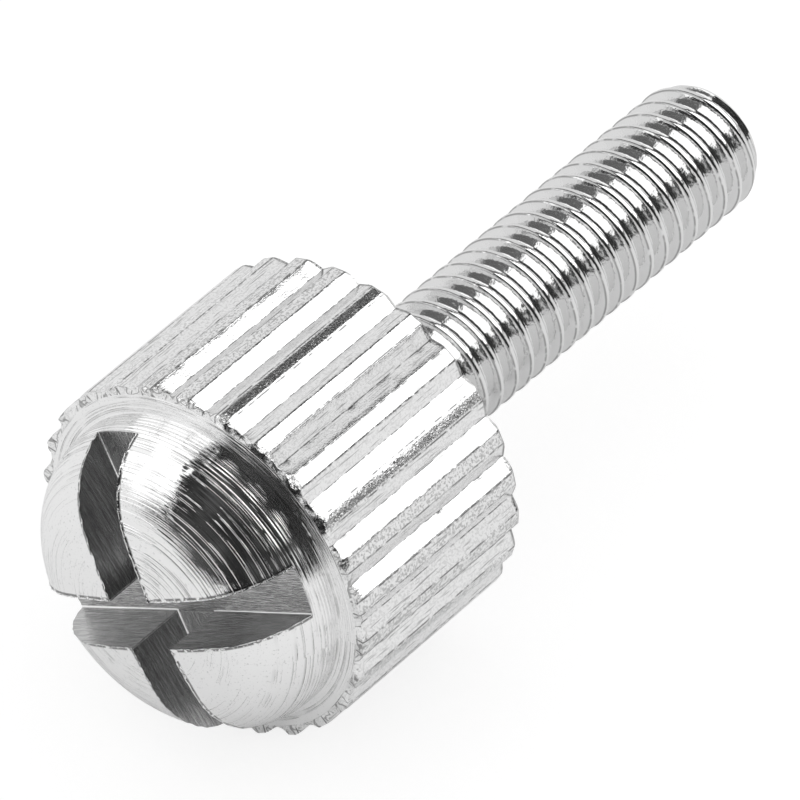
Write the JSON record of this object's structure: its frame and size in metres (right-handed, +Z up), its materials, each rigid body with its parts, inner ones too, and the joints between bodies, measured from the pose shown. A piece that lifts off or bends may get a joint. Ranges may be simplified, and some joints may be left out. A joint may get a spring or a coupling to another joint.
{
  "type": "knurled thumb screw",
  "caption": "Knurled thumb screw with a cylindrical grip, a cross-slotted domed top and a fully threaded metric shank; turned and brightly plated.",
  "frame": {"origin": "centre of the flat face under the head, where the shank starts", "axes": "+X along the screw's axis towards the tip, +Z up as the screw lies on the ridges of its grip"},
  "size_m": [0.0187, 0.0082, 0.0082],
  "materials": {
    "bright_plating": "bright nickel plating on turned steel"
  },
  "bodies": {
    "root": {"thumb_screw": "bright_plating"}
  },
  "joints": []
}
